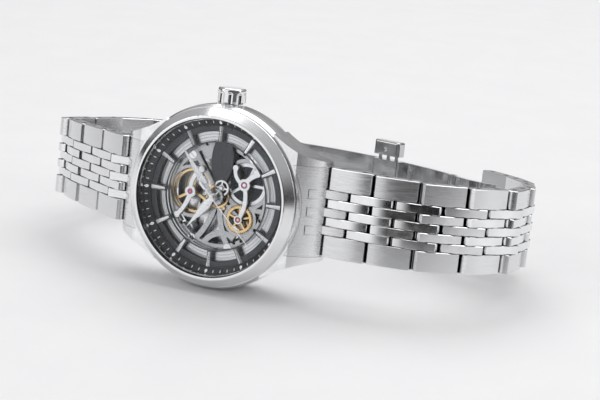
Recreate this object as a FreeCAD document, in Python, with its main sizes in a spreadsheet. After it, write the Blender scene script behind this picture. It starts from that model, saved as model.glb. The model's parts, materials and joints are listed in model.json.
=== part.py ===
import FreeCAD, Part
import Sketcher
import math
import os

# Skeleton wristwatch on a steel bracelet with a butterfly clasp.
# Watch frame used below: x to 3 o'clock, y to 6 o'clock, z from the dial to the case back,
# origin on the hands' axis in the plane of the minute dots.
# Row frame: origin on the hands' axis in the plane of the case back's outer face, +X to 6 o'clock,
# +Y out of the back and +Z to 3 o'clock, so the watch stands on its 9 o'clock side.

V = FreeCAD.Vector
WATCH_TO_ROW = FreeCAD.Rotation(V(1, 1, 1), -120)

DIMENSIONS = [
    ("case_radius", 20.8, "middle case, outside"),
    ("case_top", -0.7, "bezel seat"),
    ("case_bore", 17.3, "middle case, inside"),
    ("case_depth", 7.5, "middle case, bezel seat to back seat"),
    ("bezel_radius", 19.95, "bezel, outside"),
    ("bezel_height", 2.55, "bezel, above its seat"),
    ("crystal_radius", 17.43, "front crystal"),
    ("crystal_thick", 1.15, "front crystal"),
    ("crystal_top", -3.1, "front crystal, top face"),
    ("flange_radius", 17.25, "minute flange, outside"),
    ("flange_bore", 15.9, "minute flange, inside"),
    ("dial_bore", 12.1, "hour ring, inside"),
    ("dial_level", 0.75, "hour ring, front face"),
    ("dial_thick", 0.4, "hour ring"),
    ("holder_bore", 12.3, "movement holder, inside"),
    ("holder_level", 2.0, "movement holder, front face"),
    ("plate_radius", 12.8, "main plate"),
    ("plate_level", 2.5, "main plate, front face"),
    ("plate_thick", 1.2, "main plate"),
    ("back_radius", 19.3, "case back, outside"),
    ("back_level", 6.85, "case back, inner face"),
    ("back_thick", 2.05, "case back"),
    ("back_window", 14.2, "case back crystal"),
    ("crown_radius", 3.2, "crown"),
    ("crown_length", 3.5, "crown"),
    ("crown_level", 4.4, "crown axis"),
    ("stem_radius", 0.45, "winding stem"),
    ("lug_half", 10.0, "half of the lug width"),
    ("lug_reach", 24.6, "lug tip from the axis"),
    ("link_pitch", 10.2, "bracelet pitch"),
    ("link_half", 1.4, "half of the link thickness"),
    ("link_level", 6.6, "first bracelet pin"),
    ("link_taper", 0.17, "loss of half width per link"),
    ("link_curve", 34.0, "radius of a link's outer face along the bracelet"),
    ("row_width", 2.0, "inner bracelet rows"),
    ("row_gap", 0.04, "side clearance of a row"),
    ("end_gap", 0.06, "clearance between links in a row"),
    ("link_pin", 0.6, "bracelet pin radius"),
    ("blade_half", 7.6, "half of the clasp blade width"),
    ("blade_thick", 0.9, "clasp blade and arms"),
]

# Directions of the links at rest, in degrees from the lug's outward direction towards the wrist.
LINKS_6 = [0, 8, 32, 54, 85, 107, 129, 143]
LINKS_12 = [33, 33, 41, 104, 104, 125, 146, 163]
# Clasp pivots in the y, z plane, at rest with the clasp open.
PIVOT_A = (-26.6, 54.4)
PIVOT_BLADE_A = (-4.0, 60.0)
PIVOT_BLADE_B = (42.0, 43.6)
PIVOT_B = (56.6, 37.6)
ARM_B_LINK = 5
ARM_A_LINK = 7

BALANCE = (0.1, -6.7)
BARREL = (3.5, 6.4)
WINDER = (-4.4, 5.7)
THIRD = (-2.5, 1.76)
MINUTE_WORK = (2.1, 1.16)
ESCAPE = (-2.38, -1.59)
FORK = (-1.24, -3.93)
# Places on the main plate, in the x, y plane.
PLATE_HOLES = [
    (-7.4, -8.4), (-9.9, 4.9), (-9.2, 6.6), (-6.3, 9.6),
    (-4.0, 10.6), (10.2, 5.4), (7.2, 9.4), (11.2, -3.9),
]
PLATE_SCREWS = [(-10.4, -5.6), (-11.3, 3.4), (8.3, -7.2), (9.2, 7.6)]
BRIDGE_POSTS = [(11.3, -2.2), (-11.5, 1.0), (0.2, 12.0)]
# Places along the latch block of the push pieces' posts.
POSTS = (-2.6, 0.0, 2.6)

doc = FreeCAD.newDocument("wristwatch")
sheet = doc.addObject("Spreadsheet::Sheet", "dims")
size = {}
for row, (alias, value, note) in enumerate(DIMENSIONS, start=1):
    sheet.set(f"A{row}", note)
    sheet.set(f"B{row}", str(value))
    sheet.setAlias(f"B{row}", alias)
    size[alias] = value
doc.recompute()
PARTS = []
BACK_FACE = V(0, -size["back_level"] - size["back_thick"], 0)


def keep(obj, node, x=0.0, y=0.0, z=0.0, turn=0.0):
    """Name a sub-part and place it in the row frame from its place in the watch frame."""
    obj.Label = node
    local = FreeCAD.Placement(V(x, y, z), FreeCAD.Rotation(V(0, 0, 1), turn))
    obj.Placement = FreeCAD.Placement(BACK_FACE, WATCH_TO_ROW).multiply(local)
    PARTS.append(obj)
    return obj


def shape_part(node, shape, x=0.0, y=0.0, z=0.0, turn=0.0):
    """A sub-part whose shape is made with Part functions."""
    obj = doc.addObject("Part::Feature", node)
    obj.Shape = shape if shape.Placement.isIdentity() else Part.makeCompound([shape])
    return keep(obj, node, x, y, z, turn)


def origin_plane(body, role):
    return next(f for f in body.Origin.OriginFeatures if f.Role == role)


def new_sketch(body, name, role):
    sketch = body.newObject("Sketcher::SketchObject", name)
    sketch.AttachmentSupport = (origin_plane(body, role), [""])
    sketch.MapMode = "FlatFace"
    return sketch


def tie(sketch, line, axis, value):
    """Hold one coordinate of a line's start point, by number or by an expression on the sheet."""
    if value == 0:
        sketch.addConstraint(Sketcher.Constraint("PointOnObject", line, 1, -2 if axis == "X" else -1))
        return
    number = value if isinstance(value, (int, float)) else evaluate(value)
    index = sketch.addConstraint(Sketcher.Constraint("Distance" + axis, -1, 1, line, 1, number))
    if isinstance(value, str):
        sketch.setExpression(f"Constraints[{index}]", bound(value))


def bound(text):
    """Turn sheet names in an expression into references to the sheet."""
    words = text.replace("(", " ( ").replace(")", " ) ").split()
    return " ".join("dims." + w if w in size else w for w in words)


def evaluate(text):
    """Work an expression of sheet names, +, - and * out as a number."""
    total, sign = 0.0, 1.0
    for word in text.split():
        if word in "+-":
            sign = -1.0 if word == "-" else 1.0
        else:
            total += sign * (size[word] if word in size else float(word))
    return total


def outline(sketch, points):
    """A closed outline of straight lines through points given as (x, y) numbers or expressions."""
    spots = [V(*(p if isinstance(p, (int, float)) else evaluate(p) for p in point), 0) for point in points]
    count = len(spots)
    for i in range(count):
        sketch.addGeometry(Part.LineSegment(spots[i], spots[(i + 1) % count]), False)
    for i in range(count):
        sketch.addConstraint(Sketcher.Constraint("Coincident", i, 2, (i + 1) % count, 1))
    for i, (across, up) in enumerate(points):
        tie(sketch, i, "X", across)
        tie(sketch, i, "Y", up)


def turned_body(node, profile):
    """A body turned about its z axis from (radius, height) points."""
    body = doc.addObject("PartDesign::Body", node)
    sketch = new_sketch(body, node + "_profile", "XZ_Plane")
    outline(sketch, profile)
    turn = body.newObject("PartDesign::Revolution", node + "_turn")
    turn.Profile = sketch
    turn.ReferenceAxis = (sketch, ["V_Axis"])
    turn.Angle = 360
    return body


def round_rims(body, radius, rims):
    """Round circular edges, each named by its radius and height."""
    doc.recompute()
    names = []
    for number, edge in enumerate(body.Shape.Edges, start=1):
        if not isinstance(edge.Curve, Part.Circle):
            continue
        for rim_radius, rim_height in rims:
            near_radius = abs(edge.Curve.Radius - rim_radius) < 0.01
            if near_radius and abs(edge.Curve.Center.z - rim_height) < 0.01:
                names.append(f"Edge{number}")
    tip = body.Tip
    fillet = body.newObject("PartDesign::Fillet", body.Name + "_rims")
    fillet.Base = (tip, names)
    fillet.Radius = radius


def fused(shapes):
    return shapes[0].multiFuse(shapes[1:]).removeSplitter()


def disc(radius, low, high, x=0.0, y=0.0):
    return Part.makeCylinder(radius, high - low, V(x, y, low))


def ring(outer, inner, low, high, x=0.0, y=0.0):
    return disc(outer, low, high, x, y).cut(disc(inner, low - 1, high + 1, x, y))


def bar(start, end, width, low, high):
    """A straight arm with round ends between two points."""
    along = V(end[0] - start[0], end[1] - start[1], 0)
    angle = math.degrees(math.atan2(along.y, along.x))
    box = Part.makeBox(along.Length, width, high - low, V(0, -width / 2, 0))
    box.Placement = FreeCAD.Placement(V(start[0], start[1], low), FreeCAD.Rotation(V(0, 0, 1), angle))
    return fused([box, disc(width / 2, low, high, *start), disc(width / 2, low, high, *end)])


def arm_arc(start, through, end, width, low, high):
    """A curved arm of constant width through three points."""
    spine = Part.ArcOfCircle(V(*start, 0), V(*through, 0), V(*end, 0))
    centre, radius = spine.Center, spine.Radius
    band = ring(radius + width / 2, radius - width / 2, low, high, centre.x, centre.y)
    middle = V(*through, 0).sub(centre)
    first = V(*start, 0).sub(centre)
    half = math.degrees(first.getAngle(middle))
    other = math.degrees(V(*end, 0).sub(centre).getAngle(middle))
    bearing = math.degrees(math.atan2(middle.y, middle.x))
    turn_way = 1 if middle.cross(first).z > 0 else -1
    before, after = (other, half) if turn_way > 0 else (half, other)
    low_angle, high_angle = bearing - before, bearing + after
    wedge = Part.makeCylinder(radius + width, high - low, V(0, 0, 0), V(0, 0, 1), high_angle - low_angle)
    turn = FreeCAD.Rotation(V(0, 0, 1), low_angle)
    wedge.Placement = FreeCAD.Placement(V(centre.x, centre.y, low), turn)
    return band.common(wedge)


def gear_face(teeth, pitch_radius, addendum, dedendum, phase=0.0):
    """The outline of a gear with straight-sided teeth; a tooth is centred at the phase angle."""
    step = 2 * math.pi / teeth
    root, tip = pitch_radius - dedendum, pitch_radius + addendum
    marks = [(root, -0.32), (tip, -0.12), (tip, 0.12), (root, 0.32)]
    points = []
    for tooth in range(teeth):
        for radius, share in marks:
            angle = math.radians(phase) + (tooth + share) * step
            points.append(V(radius * math.cos(angle), radius * math.sin(angle), 0))
    points.append(points[0])
    return Part.Face(Part.makePolygon(points))


def wheel(teeth, pitch_radius, thick, low, spokes, hub, rim, phase=0.0, spoke_width=0.35):
    """A toothed wheel with spokes, its module found from its pitch radius."""
    module = 2 * pitch_radius / teeth
    blank = gear_face(teeth, pitch_radius, 0.8 * module, module, phase).extrude(V(0, 0, thick))
    blank.translate(V(0, 0, low))
    inner = pitch_radius - module - rim
    if spokes == 0 or inner <= hub:
        return blank
    window = ring(inner, hub, low - 0.1, low + thick + 0.1)
    arms = []
    for i in range(spokes):
        angle = math.radians(phase) + 2 * math.pi * i / spokes
        far = (inner + rim / 2) * math.cos(angle), (inner + rim / 2) * math.sin(angle)
        arms.append(bar((0, 0), far, spoke_width, low - 0.2, low + thick + 0.2))
    return blank.cut(window.cut(fused(arms) if len(arms) > 1 else arms[0]))


def spiral(inner, outer, turns, thick, low, high):
    """A flat coil from the inner to the outer radius."""
    steps = int(turns * 24)
    sides = []
    for offset in (-thick / 2, thick / 2):
        points = []
        for i in range(steps + 1):
            angle = 2 * math.pi * turns * i / steps
            radius = inner + (outer - inner) * i / steps + offset
            points.append(V(radius * math.cos(angle), radius * math.sin(angle), low))
        curve = Part.BSplineCurve()
        curve.interpolate(points)
        sides.append(curve)
    first, second = sides
    edges = [first.toShape(), second.toShape()]
    for end in (0, -1):
        pair = [s.value(s.FirstParameter if end == 0 else s.LastParameter) for s in sides]
        edges.append(Part.makeLine(*pair))
    return Part.Face(Part.Wire(Part.__sortEdges__(edges))).extrude(V(0, 0, high - low))


# ---------------------------------------------------------------- case

def case_middle():
    """The middle case: a turned ring with four lugs, bored for the crown tube and the spring bars."""
    top, depth = size["case_top"], size["case_depth"]
    radius, bore = size["case_radius"], size["case_bore"]
    back_seat = size["back_radius"] + 0.05
    rim = Part.makePolygon([
        V(bore, 0, top), V(20.1, 0, top), V(radius - 0.15, 0, 0.5), V(radius, 0, 1.6),
        V(radius, 0, 5.0), V(20.5, 0, 6.6), V(19.9, 0, top + depth + 1.0),
        V(back_seat, 0, top + depth + 1.0), V(back_seat, 0, size["back_level"]),
        V(bore, 0, size["back_level"]), V(bore, 0, top),
    ])
    shell = Part.Face(rim).revolve(V(), V(0, 0, 1), 360)
    lugs = [lug_pair(1), lug_pair(-1)]
    inner = Part.makeCylinder(radius - 0.6, 20, V(0, 0, -5))
    body = shell.fuse([piece.cut(inner) for piece in lugs]).removeSplitter()
    hole = Part.makeCylinder(1.42, 8, V(15, 0, size["crown_level"]), V(1, 0, 0))
    recess = Part.makeCylinder(size["crown_radius"] + 0.15, 4, V(20.35, 0, size["crown_level"]), V(1, 0, 0))
    body = body.cut([hole, recess])
    for way in (1, -1):
        body = body.cut(Part.makeCylinder(0.45, 22.4, V(-11.2, way * 23.0, 6.2), V(1, 0, 0)))
    shape_part("case_middle", Part.makeCompound([body, crown_tube()]))


def lug_side(way, width, reach):
    """The side outline shared by the lugs and the end links, as a slab of a width about x = 0."""
    points = [
        (13.0, -0.6), (19.0, -0.6), (21.6, 1.1), (reach, 5.1),
        (reach + 0.05, 7.4), (reach - 1.4, 8.0), (13.0, 7.6),
    ]
    start, shoulder, crest, tip, heel, sole, root = [V(-width / 2, way * y, z) for y, z in points]
    edges = [
        Part.makeLine(start, shoulder),
        Part.Arc(shoulder, crest, tip).toShape(),
        Part.makeLine(tip, heel),
        Part.makeLine(heel, sole),
        Part.makeLine(sole, root),
        Part.makeLine(root, start),
    ]
    return Part.Face(Part.Wire(edges)).extrude(V(width, 0, 0))


def lug_pair(way):
    """Two lugs at 6 or 12 o'clock, swept out of the case to the bracelet's width."""
    reach, half = size["lug_reach"], size["lug_half"]
    slab = lug_side(way, 40, reach)
    tip_half = half + 1.05
    edges = [
        Part.Arc(V(tip_half, way * reach, 0), V(13.1, way * 18.2, 0), V(17.6, way * 11.0, 0)).toShape(),
        Part.makeLine(V(17.6, way * 11.0, 0), V(-17.6, way * 11.0, 0)),
        Part.Arc(V(-17.6, way * 11.0, 0), V(-13.1, way * 18.2, 0), V(-tip_half, way * reach, 0)).toShape(),
        Part.makeLine(V(-tip_half, way * reach, 0), V(tip_half, way * reach, 0)),
    ]
    plan = Part.Face(Part.Wire(edges)).extrude(V(0, 0, 12))
    plan.translate(V(0, 0, -2))
    both = slab.common(plan)
    notch = Part.makeBox(2 * half + 0.06, 12, 16, V(-half - 0.03, 0, -3))
    notch.translate(V(0, 18.0 if way > 0 else -30.0, 0))
    return both.cut(notch.cut(Part.makeCylinder(size["case_radius"], 20, V(0, 0, -5))))


def bezel():
    body = turned_body("bezel", [
        ("case_bore", 0.05), ("bezel_radius", 0.05), ("bezel_radius", 0.75),
        ("bezel_radius - 1.75", "bezel_height"), ("crystal_radius + 0.22", "bezel_height"),
        ("crystal_radius + 0.22", 1.25), ("case_bore", 1.25),
    ])
    outer, height = size["bezel_radius"], size["bezel_height"]
    round_rims(body, 0.25, [(outer, 0.75), (outer - 1.75, height)])
    keep(body, "bezel", z=size["case_top"])
    body.Placement = body.Placement.multiply(FreeCAD.Placement(V(), FreeCAD.Rotation(V(1, 0, 0), 180)))


def front_crystal():
    body = turned_body("front_crystal", [
        (0, 0), ("crystal_radius", 0), ("crystal_radius", "crystal_thick - 0.2"),
        ("crystal_radius - 0.25", "crystal_thick"), (0, "crystal_thick"),
    ])
    keep(body, "front_crystal", z=size["crystal_top"] + size["crystal_thick"])
    body.Placement = body.Placement.multiply(FreeCAD.Placement(V(), FreeCAD.Rotation(V(1, 0, 0), 180)))


def crystal_gasket():
    body = turned_body("crystal_gasket", [
        ("crystal_radius + 0.02", 0), ("crystal_radius + 0.2", 0),
        ("crystal_radius + 0.2", 0.95), ("crystal_radius + 0.02", 0.95),
    ])
    keep(body, "crystal_gasket", z=-2.92)


def case_back():
    """The back ring with its window seat and six tool notches."""
    body = turned_body("case_back", [
        ("back_window - 0.6", 0), ("case_bore - 0.1", 0), ("case_bore - 0.1", 0.02), ("back_radius", 0.02),
        ("back_radius", 1.2), ("back_radius - 0.9", "back_thick"), ("back_window + 0.03", "back_thick"),
        ("back_window + 0.03", 0.9), ("back_window - 0.6", 0.9),
    ])
    round_rims(body, 0.2, [(size["back_radius"] - 0.9, size["back_thick"])])
    sketch = new_sketch(body, "notch_outline", "XY_Plane")
    sketch.AttachmentOffset = FreeCAD.Placement(V(0, 0, size["back_thick"]), FreeCAD.Rotation())
    sketch.addGeometry(Part.Circle(V(16.4, 0, 0), V(0, 0, 1), 0.8), False)
    notch = body.newObject("PartDesign::Pocket", "notch")
    notch.Profile = sketch
    notch.Length = 0.5
    doc.recompute()
    around = body.newObject("PartDesign::PolarPattern", "notches")
    around.Originals = [notch]
    around.Axis = (origin_axis(body), [""])
    around.Angle = 360
    around.Occurrences = 6
    body.Tip = around
    keep(body, "case_back", z=size["back_level"])


def origin_axis(body):
    return next(f for f in body.Origin.OriginFeatures if f.Role == "Z_Axis")


def back_crystal():
    body = turned_body("back_crystal", [
        (0, 0), ("back_window", 0), ("back_window", 0.95), (0, 0.95),
    ])
    keep(body, "back_crystal", z=size["back_level"] + 0.92)


def crown_tube():
    """The tube pressed into the middle case, which the crown's sleeve slides in."""
    tube = Part.makeCylinder(1.4, 2.9, V(18.0, 0, size["crown_level"]), V(1, 0, 0))
    return tube.cut(Part.makeCylinder(1.0, 4, V(17.5, 0, size["crown_level"]), V(1, 0, 0)))


def crown_gasket():
    """The rubber sleeve between tube and crown, which slides with the crown."""
    sleeve = Part.makeCylinder(0.96, 1.6, V(18.6, 0, 0), V(1, 0, 0))
    sleeve = sleeve.cut(Part.makeCylinder(size["stem_radius"] + 0.03, 4, V(18, 0, 0), V(1, 0, 0)))
    shape_part("crown_gasket", sleeve, z=size["crown_level"])


def crown():
    """A round crown with ten flutes and a domed end."""
    radius, length = size["crown_radius"], size["crown_length"]
    start = 20.75
    blank = Part.makeCylinder(radius, length, V(start, 0, 0), V(1, 0, 0))
    rims = [e for e in blank.Edges if isinstance(e.Curve, Part.Circle)]
    blank = blank.makeFillet(0.55, rims)
    flutes = []
    for i in range(10):
        angle = math.radians(36 * i)
        across, up = (radius + 0.52) * math.cos(angle), (radius + 0.52) * math.sin(angle)
        flutes.append(Part.makeCylinder(0.86, length - 1.0, V(start - 0.4, across, up), V(1, 0, 0)))
    flutes = [cut_end(f, start + length - 1.4) for f in flutes]
    blank = blank.cut(flutes)
    hollow = Part.makeCylinder(1.46, 0.6, V(start - 0.01, 0, 0), V(1, 0, 0))
    shape_part("crown", blank.cut(hollow), z=size["crown_level"])


def cut_end(flute, end):
    """Round the far end of a flute with a ball, so that it runs out smoothly."""
    box = flute.BoundBox
    centre = V(end, box.Center.y, box.Center.z)
    return flute.fuse(Part.makeSphere(0.86, centre))


def winding_stem():
    """The stem from the crown to its winding pinion."""
    stem = Part.makeCylinder(size["stem_radius"], 11.64, V(9.7, 0, 0), V(1, 0, 0))
    pinion = Part.makeCylinder(0.65, 1.3, V(10.2, 0, 0), V(1, 0, 0))
    shape_part("winding_stem", stem.fuse(pinion), z=size["crown_level"])


def spring_bars():
    """Two sprung bars through the end links, with their tips in the lugs."""
    bars = []
    for way in (1, -1):
        body = Part.makeCylinder(0.75, 19.4, V(-9.7, way * 23.0, 6.2), V(1, 0, 0))
        tips = Part.makeCylinder(0.42, 22.0, V(-11.0, way * 23.0, 6.2), V(1, 0, 0))
        bars.append(body.fuse(tips).removeSplitter())
    shape_part("spring_bars", Part.makeCompound(bars))


def end_links():
    shape_part("end_links", Part.makeCompound([end_link(1), end_link(-1)]))


def end_link(way):
    """The piece between two lugs, with three tongues for the first bracelet pin, each outlined by a groove."""
    half, reach = size["lug_half"] - 0.03, size["lug_reach"]
    slab = lug_side(way, 2 * half, reach - 0.1)
    slab = slab.cut(Part.makeCylinder(size["case_radius"] + 0.05, 20, V(0, 0, -5)))
    frame = hinge_frame(way, first_pin(way), 0)
    skin = slab.cut(slab.translated(V(0, 0, 0.4)))
    slab = slab.cut(skin.common(Part.makeCompound([tongue_groove(way, x) for x in (-4, 0, 4)])))
    heads = [row_piece(x, size["row_width"] / 2, frame, -3.4, 0) for x in (-4, 0, 4)]
    body = slab.fuse(heads).removeSplitter()
    body = body.cut(Part.makeCylinder(0.79, 30, V(-15, way * 23.0, 6.2), V(1, 0, 0)))
    body = body.cut(Part.makeCylinder(size["link_pin"] + 0.03, 30, V(-15, *first_pin(way)), V(1, 0, 0)))
    return body


def tongue_groove(way, centre):
    """A narrow groove in the shape of a U, open towards the bracelet."""
    half, start, wide, length = size["row_width"] / 2, 21.7, 0.16, 3.5
    outer = Part.makeBox(2 * half + wide, length, 20, V(centre - half - wide / 2, start, -5))
    inner = Part.makeBox(2 * half - wide, length, 20, V(centre - half + wide / 2, start + wide, -5))
    groove = outer.cut(inner)
    if way < 0:
        groove = groove.mirror(V(), V(0, 1, 0))
    return groove


# ---------------------------------------------------------------- bracelet

def first_pin(way):
    return way * (size["lug_reach"] + size["link_pitch"] / 4), size["link_level"]


def pins(way, directions):
    """The pins of one side of the bracelet, from the lug to the clasp, as (y, z)."""
    spots = [first_pin(way)]
    for degrees in directions:
        angle = math.radians(degrees)
        y, z = spots[-1]
        step = size["link_pitch"]
        spots.append((y + way * step * math.cos(angle), z + step * math.sin(angle)))
    return spots


def hinge_frame(way, spot, degrees):
    """The placement of a link piece: its own x along the link, y outwards, z across the bracelet."""
    angle = math.radians(degrees)
    along = V(0, way * math.cos(angle), math.sin(angle))
    outward = V(0, way * math.sin(angle), -math.cos(angle))
    across = along.cross(outward)
    return FreeCAD.Placement(V(0, *spot), FreeCAD.Rotation(along, outward, across, "XYZ"))


def link_outline(start, stop):
    """The side outline of a link piece between two pins: a curved outer face, ends round about the pins."""
    reach = size["link_pitch"] / 4 - size["end_gap"] / 2
    half = size["link_half"]
    top = math.sqrt(reach * reach - half * half)
    crown = (stop - start + 2 * top) ** 2 / (8 * size["link_curve"])
    start_top, start_low = V(start - top, half, 0), V(start - top, -half, 0)
    stop_top, stop_low = V(stop + top, half, 0), V(stop + top, -half, 0)
    edges = [
        Part.Arc(start_top, V((start + stop) / 2, half + crown, 0), stop_top).toShape(),
        Part.Arc(stop_top, V(stop + reach, 0, 0), stop_low).toShape(),
        Part.makeLine(stop_low, start_low),
        Part.Arc(start_low, V(start - reach, 0, 0), start_top).toShape(),
    ]
    return Part.Face(Part.Wire(edges))


def row_piece(centre, half_width, frame, start, stop, holes=()):
    """One link piece of one row, its long edges broken, with holes for its pins."""
    half_width -= size["row_gap"] / 2
    face = link_outline(start, stop)
    piece = face.extrude(V(0, 0, 2 * half_width))
    piece.translate(V(0, 0, -half_width))
    rims = [e for e in piece.Edges if abs(e.Vertexes[0].Z - e.Vertexes[-1].Z) < 1e-6]
    piece = piece.makeChamfer(0.12, rims)
    for spot in holes:
        piece = piece.cut(Part.makeCylinder(size["link_pin"] + 0.03, 30, V(spot, 0, -15)))
    side = centre if frame.Rotation.multVec(V(0, 0, 1)).x > 0 else -centre
    piece.translate(V(0, 0, side))
    piece.Placement = frame.multiply(piece.Placement)
    return piece


def link(way, number, spot, degrees, name, ears=False, last=False):
    """A bracelet link: four outer-phase pieces, three inner-phase pieces half a pitch on, and two pins."""
    pitch, width = size["link_pitch"], size["row_width"]
    frame = hinge_frame(way, spot, degrees)
    half = size["lug_half"] - size["link_taper"] * (number + 0.5)
    outer_centre, outer_half = (half + 5) / 2, (half - 5) / 2
    pieces = []
    edge_rows = [(-outer_centre, outer_half), (outer_centre, outer_half)]
    inner_rows = [(-2, width / 2), (2, width / 2)]
    for centre, half_width in (edge_rows[0], *inner_rows, edge_rows[1]):
        pieces.append(row_piece(centre, half_width, frame, 0, pitch / 2, (0, pitch / 2)))
    if not last:
        for centre in (-4, 0, 4):
            pieces.append(row_piece(centre, width / 2, frame, pitch / 2, pitch, (pitch / 2, pitch)))
    else:
        for centre in (-4, 0, 4):
            pieces.append(row_piece(centre, width / 2, frame, pitch / 2, pitch / 2, (pitch / 2,)))
    pin_half = half - 0.25
    for along in (0, pitch / 2):
        pin = Part.makeCylinder(size["link_pin"], 2 * pin_half, V(along, 0, -pin_half))
        pin.Placement = frame.multiply(pin.Placement)
        pieces.append(pin)
    if ears:
        pieces = add_ears(pieces, frame, ears)
    shape_part(name, Part.makeCompound(pieces))


def add_ears(pieces, frame, pivot):
    """Two ears on the link's second and fourth rows for the clasp arm's pin."""
    local = frame.inverse().multVec(V(0, *pivot))
    width = size["row_width"] - size["row_gap"]
    foot = min(local.x, 0.56 * size["link_pitch"])
    low = 0.2 - size["link_half"]
    corners = [V(foot - 1.2, low, 0), V(foot + 1.2, low, 0)]
    corners += [V(local.x + 1.15, local.y, 0), V(local.x - 1.15, local.y, 0)]
    for index in (1, 2):
        centre = pieces[index].BoundBox.Center.x
        ear = Part.Face(Part.makePolygon(corners + [corners[0]])).extrude(V(0, 0, width))
        solid = ear.fuse(Part.makeCylinder(1.2, width, V(local.x, local.y, 0)))
        solid = solid.cut(Part.makeCylinder(0.53, 9, V(local.x, local.y, -3)))
        side = centre if frame.Rotation.multVec(V(0, 0, 1)).x > 0 else -centre
        solid.translate(V(0, 0, side - width / 2))
        solid.Placement = frame.multiply(solid.Placement)
        pieces[index] = pieces[index].fuse(solid).removeSplitter()
    pin = Part.makeCylinder(0.5, 5.6, V(local.x, local.y, -2.8))
    pin.Placement = frame.multiply(pin.Placement)
    return pieces + [pin]


def bracelet_side(way, directions, hour, arm_link, pivot):
    for number, (spot, degrees) in enumerate(zip(pins(way, directions), directions)):
        ears = pivot if number == arm_link else False
        last = number == len(directions) - 1
        link(way, number, spot, degrees, f"link_{hour}_{number + 1}", ears, last)


# ---------------------------------------------------------------- clasp

def curved_strip(start, end, bulge, thick, half_width, trims):
    """A curved plate between two pivots in the y, z plane, cut short of each by its trim."""
    first, last = V(0, *start), V(0, *end)
    along = last.sub(first)
    side = V(0, -along.z, along.y).normalize()
    middle = first.add(last).multiply(0.5).add(side * bulge)
    spine = Part.ArcOfCircle(first, middle, last)
    centre, radius = spine.Center, spine.Radius
    foot = V(-half_width, centre.y, centre.z)
    outer = Part.makeCylinder(radius + thick / 2, 2 * half_width, foot, V(1, 0, 0))
    inner = Part.makeCylinder(radius - thick / 2, 2 * half_width, foot, V(1, 0, 0))
    sector = Part.makePolygon([centre, *fan(centre, spine, trims), centre])
    slab = Part.Face(sector).extrude(V(2 * half_width, 0, 0))
    slab.translate(V(-half_width, 0, 0))
    return outer.cut(inner).common(slab)


def fan(centre, spine, trims):
    """Points well outside an arc, which bound the sector that is kept."""
    spots = []
    length = spine.toShape().Length
    first, last = trims[0] / length, 1 - trims[1] / length
    low, high = spine.FirstParameter, spine.LastParameter
    for i in range(9):
        at = low + (high - low) * (first + (last - first) * i / 8)
        spots.append(centre.add(spine.value(at).sub(centre).multiply(1.5)))
    return spots


def knuckle(spot, low, high, radius=1.05, hole=0.53):
    tube = Part.makeCylinder(radius, high - low, V(low, *spot), V(1, 0, 0))
    return tube.cut(Part.makeCylinder(hole, high - low + 2, V(low - 1, *spot), V(1, 0, 0)))


def web(spot, towards, low, high, length, thick):
    """A flat tab from a knuckle towards a point."""
    start, aim = V(0, *spot), V(0, *towards)
    along = aim.sub(start).normalize()
    side = V(0, -along.z, along.y)
    corners = [start + side * (thick / 2), start + along * length + side * (thick / 2)]
    corners += [start + along * length - side * (thick / 2), start - side * (thick / 2)]
    tab = Part.Face(Part.makePolygon(corners + [corners[0]])).extrude(V(high - low, 0, 0))
    tab.translate(V(low, 0, 0))
    return tab.cut(Part.makeCylinder(0.53, high - low + 2, V(low - 1, *spot), V(1, 0, 0)))


def clasp():
    """Centre blade with its latch block, two folding arms, and a push piece at each side."""
    half, thick = size["blade_half"], size["blade_thick"]
    spine = Part.ArcOfCircle(*blade_arc())
    middle = spine.value(0.44 * spine.FirstParameter + 0.56 * spine.LastParameter)
    blade = curved_strip(PIVOT_BLADE_A, PIVOT_BLADE_B, 4.0, thick, half, (2.0, 2.0))
    for spot, far in ((PIVOT_BLADE_A, PIVOT_BLADE_B), (PIVOT_BLADE_B, PIVOT_BLADE_A)):
        aim = near_point(spine, spot)
        for low, high in ((-half, -3.0), (3.0, half)):
            blade = blade.fuse([knuckle(spot, low, high), web(spot, aim, low, high, 3.0, thick)])
    block = latch_block(middle, spine)
    blade = blade.fuse(block).removeSplitter()
    hinge_pins = []
    for spot in (PIVOT_BLADE_A, PIVOT_BLADE_B):
        hinge_pins.append(Part.makeCylinder(0.5, 2 * half - 0.2, V(-half + 0.1, *spot), V(1, 0, 0)))
    shape_part("clasp_blade", Part.makeCompound([blade, *hinge_pins]))
    arm("clasp_arm_12", PIVOT_A, PIVOT_BLADE_A, -2.2)
    arm("clasp_arm_6", PIVOT_BLADE_B, PIVOT_B, -2.2)
    push_pieces(middle, spine)


def blade_arc():
    first, last = V(0, *PIVOT_BLADE_A), V(0, *PIVOT_BLADE_B)
    along = last.sub(first)
    side = V(0, -along.z, along.y).normalize()
    return first, first.add(last).multiply(0.5).add(side * 4.0), last


def near_point(spine, spot):
    """A point on the blade's arc a little way from one of its pivots."""
    low, high = spine.FirstParameter, spine.LastParameter
    share = 0.07 if (spine.value(low) - V(0, *spot)).Length < 1 else 0.93
    at = spine.value(low + (high - low) * share)
    return at.y, at.z


def block_frame(middle, spine):
    inward = spine.Center.sub(middle).normalize()
    along = V(1, 0, 0).cross(inward)
    return FreeCAD.Placement(middle, FreeCAD.Rotation(along, inward, along.cross(inward), "XYZ"))


def latch_block(middle, spine):
    """The catch block on the blade's inner face, drilled for the push pieces' posts."""
    half = size["blade_half"]
    frame = block_frame(middle, spine)
    block = Part.makeBox(8.4, 2.4, 2 * half, V(-4.2, 0.2, -half))
    rims = [e for e in block.Edges if abs(e.Vertexes[0].Z - e.Vertexes[-1].Z) > 1 and e.Vertexes[0].Y > 1]
    block = block.makeFillet(0.7, rims)
    for along in POSTS:
        for low in (-half - 1, half - 3.2):
            block = block.cut(Part.makeCylinder(0.5, 4.2, V(along, 1.5, low)))
    block.Placement = frame
    return block


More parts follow.
